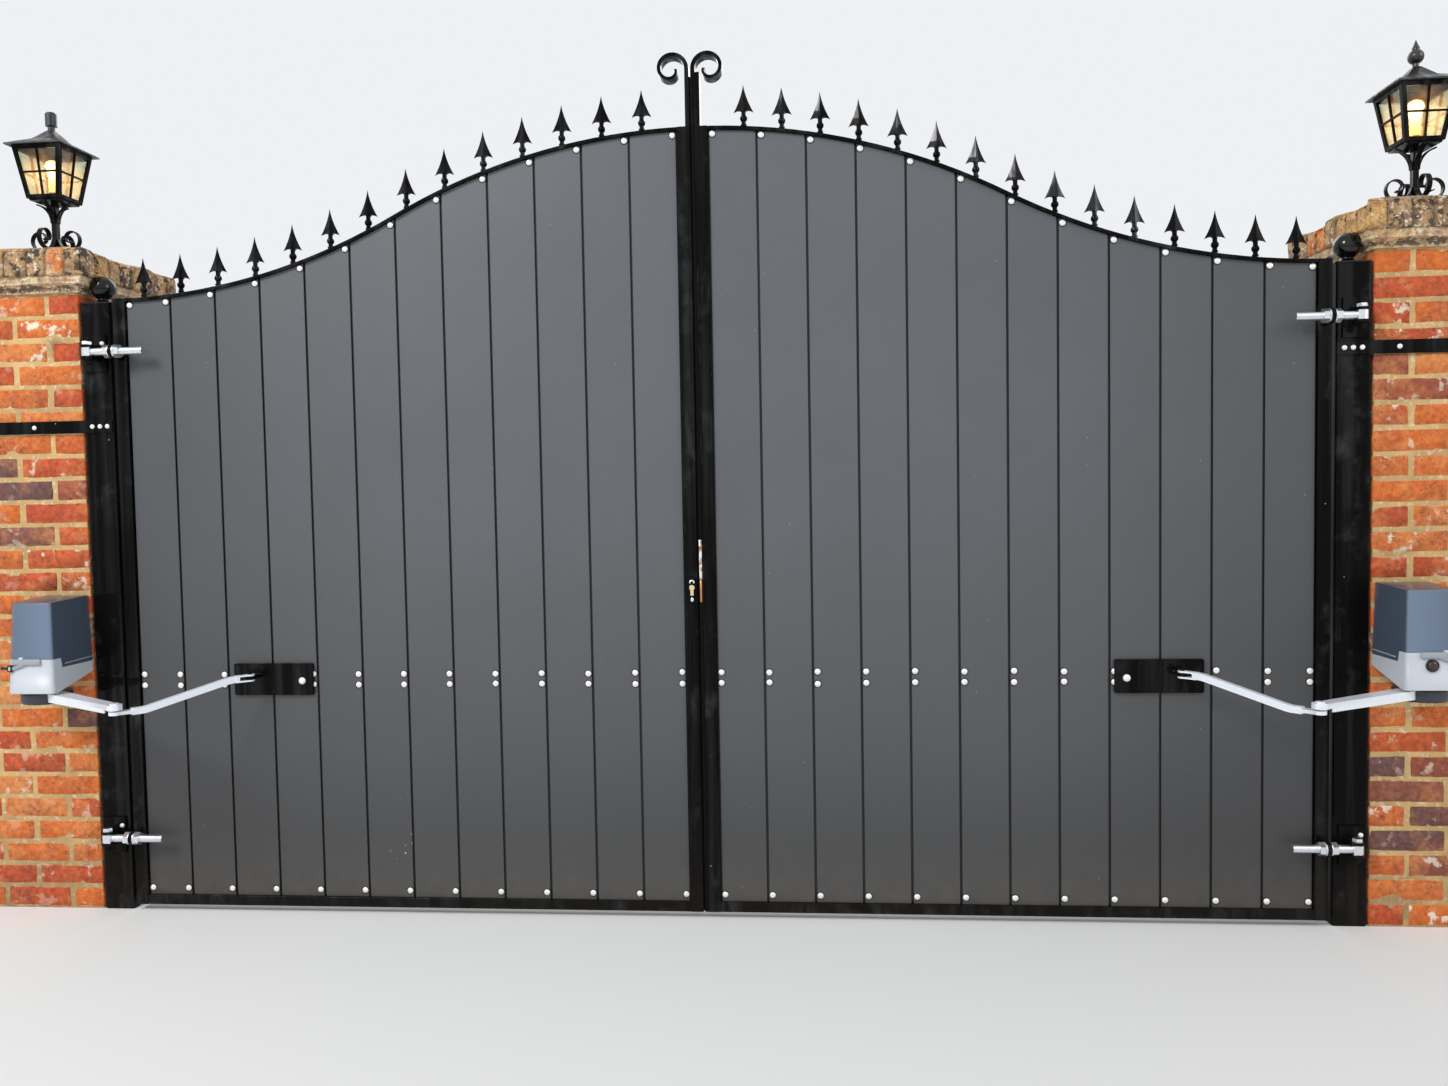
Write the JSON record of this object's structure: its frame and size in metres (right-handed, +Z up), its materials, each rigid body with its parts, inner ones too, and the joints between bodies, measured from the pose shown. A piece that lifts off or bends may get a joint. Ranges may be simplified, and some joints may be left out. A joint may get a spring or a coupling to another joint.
{
  "type": "wrought iron driveway gate",
  "caption": "Arched double driveway gate with dark vertical boards, black steel frame, spear railheads, arm openers, brick piers, stone caps and lanterns.",
  "frame": {"origin": "centre of the flat foot of the left steel post, on the ground", "axes": "+X to the right along the closed gate seen from the opener side, +Y away from the opener side towards the road, +Z up"},
  "size_m": [5.011, 0.8598, 2.7061],
  "materials": {
    "brick": "painted_matte",
    "sandstone": "painted_matte",
    "black_steel": "painted_gloss",
    "composite_board": "painted_satin",
    "galvanised": "brushed",
    "light_housing": "painted_satin",
    "dark_housing": "painted_satin",
    "dark_metal": "painted_satin",
    "brass": "brushed",
    "lantern_black": "painted_satin",
    "lantern_glass": "polished",
    "warm_bulb": "polished"
  },
  "bodies": {
    "root": {"left_pier": "brick", "left_pier_cornice": "sandstone", "left_pier_cap": "sandstone", "left_post": "black_steel", "left_post_finial": "black_steel", "left_strap": "black_steel", "left_hinge_brackets": "black_steel", "left_opener_base": "light_housing", "left_opener_cover": "dark_housing", "left_lantern_stand": "lantern_black", "left_lantern_frame": "lantern_black", "left_lantern_glass": "lantern_glass", "left_lantern_roof": "lantern_black", "left_lantern_bulb": "warm_bulb", "right_pier": "brick", "right_pier_cornice": "sandstone", "right_pier_cap": "sandstone", "right_post": "black_steel", "right_post_finial": "black_steel", "right_strap": "black_steel", "right_hinge_brackets": "black_steel", "right_opener_base": "light_housing", "right_opener_cover": "dark_housing", "right_lantern_stand": "lantern_black", "right_lantern_frame": "lantern_black", "right_lantern_glass": "lantern_glass", "right_lantern_roof": "lantern_black", "right_lantern_bulb": "warm_bulb"},
    "left_leaf": {"left_arm_bracket": "black_steel", "left_hinge_stile": "black_steel", "left_meeting_stile": "black_steel", "left_bottom_rail": "black_steel", "left_middle_rail": "black_steel", "left_top_rail": "black_steel", "left_boards": "composite_board", "left_railheads": "black_steel", "left_scroll": "black_steel", "left_hinge_eyes": "galvanised", "lock": "brass"},
    "right_leaf": {"right_arm_bracket": "black_steel", "right_hinge_stile": "black_steel", "right_meeting_stile": "black_steel", "right_bottom_rail": "black_steel", "right_middle_rail": "black_steel", "right_top_rail": "black_steel", "right_boards": "composite_board", "right_railheads": "black_steel", "right_scroll": "black_steel", "right_hinge_eyes": "galvanised"},
    "left_drive": {"left_opener_drum": "dark_metal", "left_drive_arm": "galvanised"},
    "left_arm": {"left_curved_arm": "galvanised"},
    "right_drive": {"right_opener_drum": "dark_metal", "right_drive_arm": "galvanised"},
    "right_arm": {"right_curved_arm": "galvanised"}
  },
  "joints": [
    {"name": "left_leaf_hinge", "type": "hinge", "parent": "root", "child": "left_leaf", "pos_m": [0, -0.095, 0.251], "axis": [0, 0, -1], "range_deg": [0, 90]},
    {"name": "left_drive_shaft", "type": "hinge", "parent": "root", "child": "left_drive", "pos_m": [-0.139, -0.16, 0.735], "axis": [0, 0, -1], "range_deg": [0, 92]},
    {"name": "left_arm_pivot", "type": "hinge", "parent": "left_leaf", "child": "left_arm", "pos_m": [0.51, -0.11, 0.779], "axis": [0, 0, 1], "range_deg": [0, 36]},
    {"name": "right_leaf_hinge", "type": "hinge", "parent": "root", "child": "right_leaf", "pos_m": [3.907, -0.095, 0.251], "axis": [0, 0, 1], "range_deg": [0, 90]},
    {"name": "right_drive_shaft", "type": "hinge", "parent": "root", "child": "right_drive", "pos_m": [4.046, -0.16, 0.735], "axis": [0, 0, 1], "range_deg": [0, 92]},
    {"name": "right_arm_pivot", "type": "hinge", "parent": "right_leaf", "child": "right_arm", "pos_m": [3.397, -0.11, 0.779], "axis": [0, 0, -1], "range_deg": [0, 36]}
  ],
  "couplings": [
    {"joint": "left_drive_shaft", "follows": "left_leaf_hinge", "ratio": 1.0122},
    {"joint": "left_arm_pivot", "follows": "left_leaf_hinge", "ratio": 0.3674},
    {"joint": "right_drive_shaft", "follows": "right_leaf_hinge", "ratio": 1.0122},
    {"joint": "right_arm_pivot", "follows": "right_leaf_hinge", "ratio": 0.3674}
  ]
}
